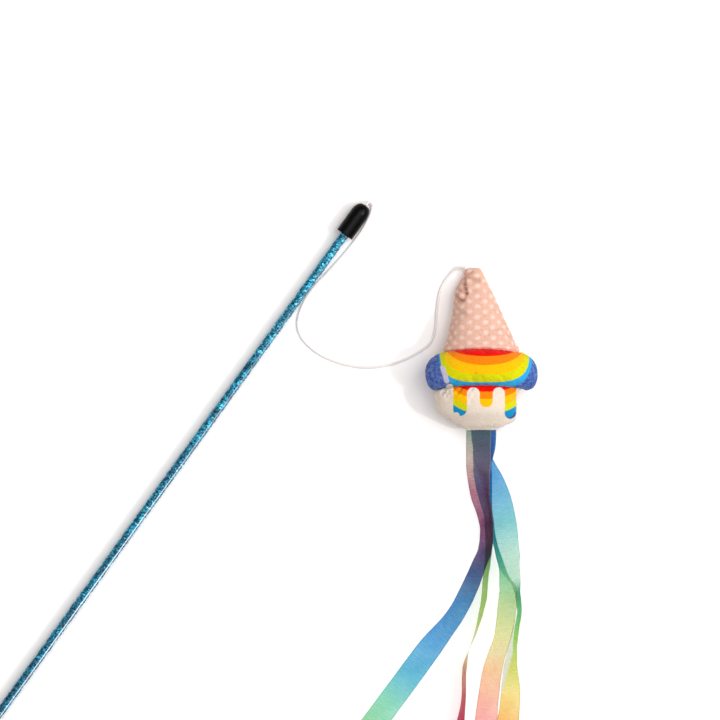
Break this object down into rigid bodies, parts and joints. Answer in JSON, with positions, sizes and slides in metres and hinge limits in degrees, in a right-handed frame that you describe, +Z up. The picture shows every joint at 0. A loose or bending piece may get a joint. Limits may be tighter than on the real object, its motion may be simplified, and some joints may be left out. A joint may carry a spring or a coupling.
{
  "type": "teaser wand with ribbon-tailed plush toy",
  "caption": "Slim clear tube with foil inside and rubber end caps; an elastic cord from its tip carries a small plush ice-cream cone with ribbon tails.",
  "frame": {"origin": "on the tube's axis, at the middle of the handle cap's straight wall", "axes": "+X along the wand from the handle cap to the tip cap; +Z up from the surface that the wand lies on; the toy lies on the -Y side"},
  "size_m": [0.4708, 0.2494, 0.035],
  "materials": {
    "clear_plastic": "gloss",
    "blue_foil": "polished",
    "black_rubber": "satin",
    "white_elastic": "matte",
    "peach_plush": "matte",
    "rainbow_plush": "matte",
    "cream_plush": "matte",
    "fibre_fill": "matte",
    "sewing_thread": "satin",
    "organza_blue_green": "satin",
    "organza_purple_green_red": "satin",
    "organza_yellow_pink": "satin",
    "organza_aqua_yellow": "satin"
  },
  "bodies": {
    "wand": {"clear_tube": "clear_plastic", "glitter_foil": "blue_foil", "tip_cap": "black_rubber", "handle_cap": "black_rubber"},
    "nose_swivel": {"tip_knot": "white_elastic"},
    "cord": {"elastic_cord": "white_elastic"},
    "toy_link": {"toy_knot": "white_elastic"},
    "toy": {"cone_front_panel": "peach_plush", "cone_back_panel": "peach_plush", "scoop_front_panel": "rainbow_plush", "scoop_back_panel": "rainbow_plush", "base_front_panel": "cream_plush", "base_back_panel": "cream_plush", "stuffing": "fibre_fill", "closing_stitches": "sewing_thread", "ribbon_stitches": "sewing_thread"},
    "ribbon_a": {"ribbon_a": "organza_blue_green"},
    "ribbon_b": {"ribbon_b": "organza_purple_green_red"},
    "ribbon_c": {"ribbon_c": "organza_yellow_pink"},
    "ribbon_d": {"ribbon_d": "organza_aqua_yellow"}
  },
  "joints": [
    {"name": "cord_spin", "type": "hinge", "parent": "wand", "child": "nose_swivel", "pos_m": [0.45075, 0, 0], "axis": [-1, 0, 0], "range_deg": [0, 180]},
    {"name": "cord_swing", "type": "hinge", "parent": "nose_swivel", "child": "cord", "pos_m": [0.45155, 0, 0], "axis": [0, 0, 1], "range_deg": [0, 90]},
    {"name": "toy_swing", "type": "hinge", "parent": "cord", "child": "toy_link", "pos_m": [0.45475, -0.06, -0.0015], "axis": [0, 0, 1], "range_deg": [-5, 80]},
    {"name": "toy_lift", "type": "hinge", "parent": "toy_link", "child": "toy", "pos_m": [0.45475, -0.06, -0.0015], "axis": [-0.585, 0.8111, 0], "range_deg": [0, 75]},
    {"name": "ribbon_a_swing", "type": "hinge", "parent": "toy", "child": "ribbon_a", "pos_m": [0.39058, -0.11479, 0.01045], "axis": [0, 0, 1], "range_deg": [-12, 0]},
    {"name": "ribbon_b_swing", "type": "hinge", "parent": "toy", "child": "ribbon_b", "pos_m": [0.39116, -0.1156, 0.00925], "axis": [0, 0, 1], "range_deg": [0, 3]},
    {"name": "ribbon_c_swing", "type": "hinge", "parent": "toy", "child": "ribbon_c", "pos_m": [0.3918, -0.1165, 0.00805], "axis": [0, 0, 1], "range_deg": [-3, 0]},
    {"name": "ribbon_d_swing", "type": "hinge", "parent": "toy", "child": "ribbon_d", "pos_m": [0.3921, -0.1169, 0.00685], "axis": [0, 0, 1], "range_deg": [0, 10]}
  ]
}
